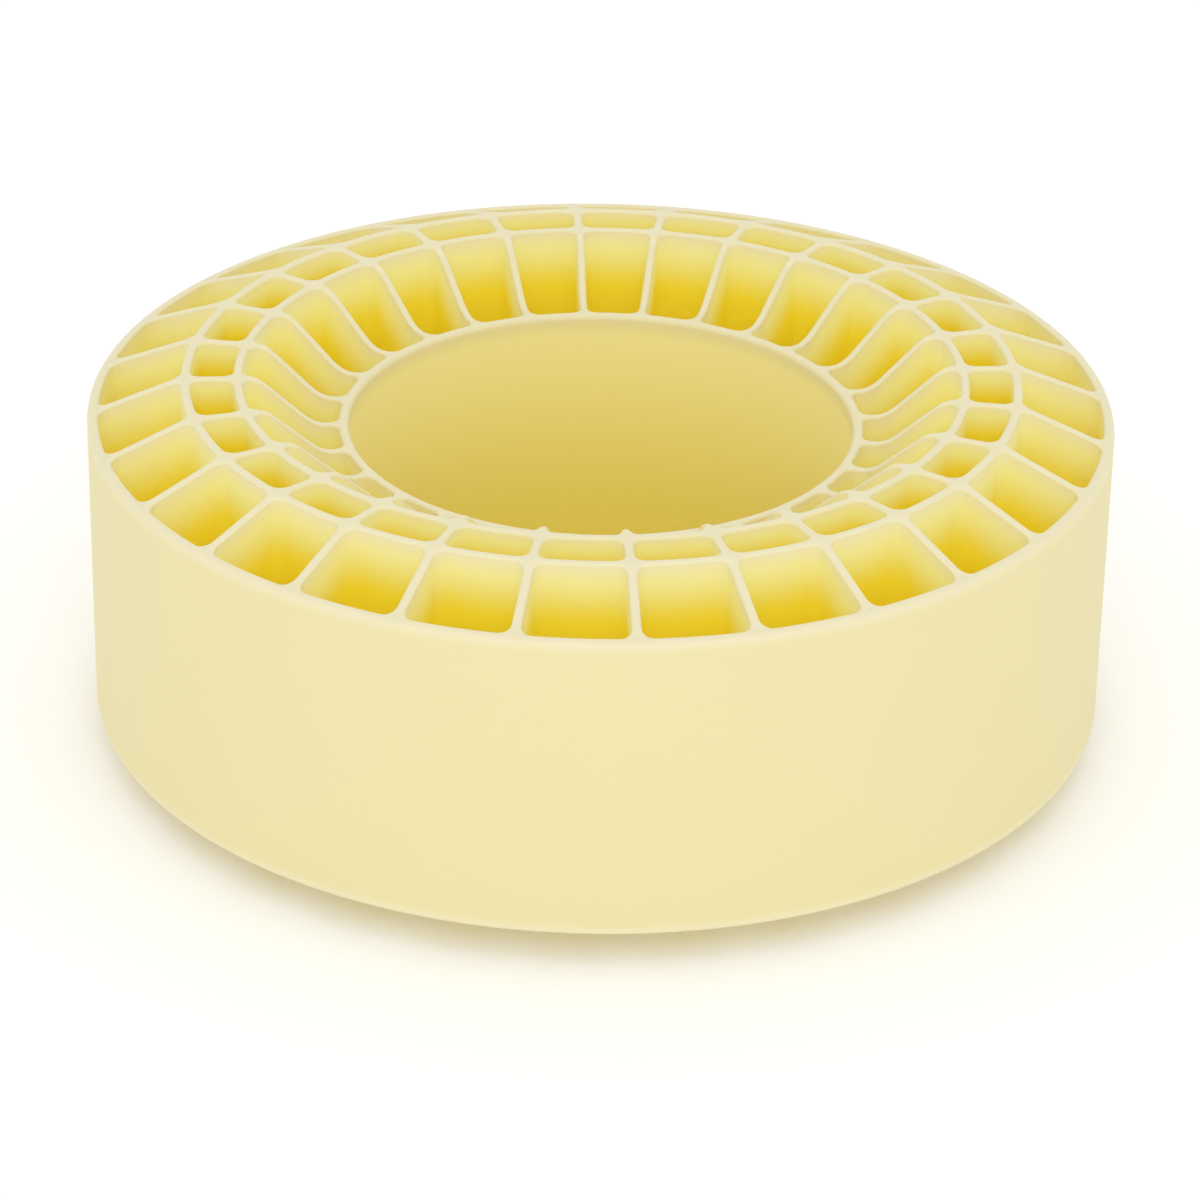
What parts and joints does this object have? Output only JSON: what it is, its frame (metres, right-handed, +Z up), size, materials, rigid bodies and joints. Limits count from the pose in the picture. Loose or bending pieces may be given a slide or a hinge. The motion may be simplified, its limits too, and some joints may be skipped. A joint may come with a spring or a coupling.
{
  "type": "tyre insert",
  "caption": "Round moulded silicone-rubber tyre insert: concentric thin walls joined by radial ribs into rows of open cells, with a plain central bore.",
  "frame": {"origin": "on the axis of the ring, at the bottom crest that it stands on", "axes": "+Z up along the axis of the ring; a rib of every row lies on +X"},
  "size_m": [0.104, 0.104, 0.0383],
  "materials": {
    "silicone": "moulded silicone rubber, soft satin, slightly translucent"
  },
  "bodies": {
    "root": {"outer_wall": "silicone", "middle_wall_outer": "silicone", "middle_wall_inner": "silicone", "hub_wall": "silicone", "outer_ribs_upper": "silicone", "outer_ribs_lower": "silicone", "middle_ribs_upper": "silicone", "middle_ribs_lower": "silicone", "inner_ribs_upper": "silicone", "inner_ribs_lower": "silicone", "outer_web": "silicone", "middle_web": "silicone", "inner_web": "silicone"}
  },
  "joints": []
}
